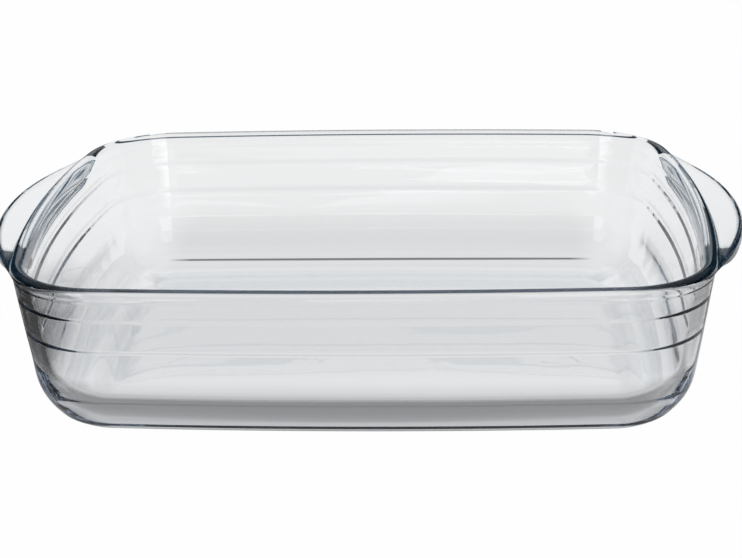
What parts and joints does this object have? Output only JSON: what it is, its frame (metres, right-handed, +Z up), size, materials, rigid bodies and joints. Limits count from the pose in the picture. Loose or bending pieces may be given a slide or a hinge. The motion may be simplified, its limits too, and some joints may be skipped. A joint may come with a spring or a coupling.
{
  "type": "glass baking dish",
  "caption": "Rectangular clear pressed-glass baking dish with rounded corners, a beaded rim, shallow ledges inside the wall and a wing handle at each end, for oven cooking and serving.",
  "frame": {"origin": "middle of the flat underside, on the surface that the dish stands on", "axes": "+X along the dish from the left handle to the right one, +Y from the front wall to the rear wall, +Z up"},
  "size_m": [0.33, 0.23, 0.072],
  "materials": {
    "glass": "clear fire-polished pressed glass, smooth inside and out, faintly blue-green in its thick edges"
  },
  "bodies": {
    "root": {"base_panel": "glass", "wall_front": "glass", "wall_rear": "glass", "wall_left": "glass", "wall_right": "glass", "corner_front_left": "glass", "corner_front_right": "glass", "corner_rear_left": "glass", "corner_rear_right": "glass", "rim": "glass", "handle_left": "glass", "handle_right": "glass"}
  },
  "joints": []
}
